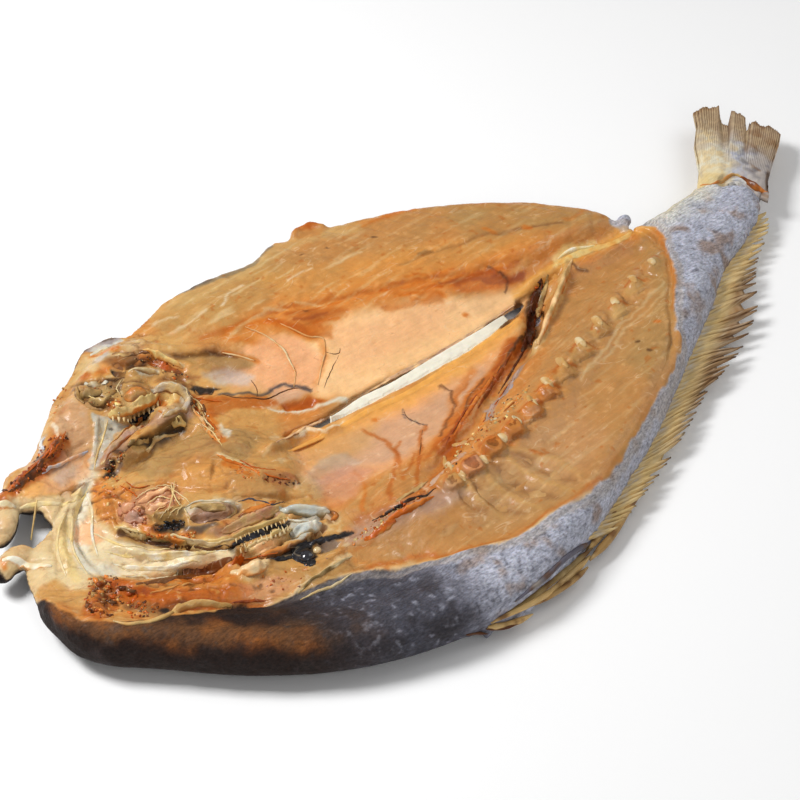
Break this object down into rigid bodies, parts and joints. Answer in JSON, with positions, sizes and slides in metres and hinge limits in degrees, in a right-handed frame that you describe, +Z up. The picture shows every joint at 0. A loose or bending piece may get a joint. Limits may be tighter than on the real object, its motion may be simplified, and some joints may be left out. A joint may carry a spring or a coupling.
{
  "type": "dried yellow croaker",
  "caption": "Salted and dried yellow croaker, split down the back and opened flat, with its head halves, backbone, fins and tail left on.",
  "frame": {"origin": "Middle of the bottom of the fish's box, on the surface it lies on.", "axes": "+X from the head to the tail, +Y towards the half without the backbone, +Z up. The fish lies skin side down, cut side up."},
  "size_m": [0.3472, 0.185, 0.018],
  "materials": {
    "flesh": "dried translucent flesh, amber to tan, waxy sheen",
    "skin": "silver-grey to brown-black scaled skin, dry",
    "bone": "cream bone, teeth and membrane, satin",
    "fin": "dried straw-brown fin rays, matt"
  },
  "bodies": {
    "root": {"croaker": "flesh"}
  },
  "joints": []
}
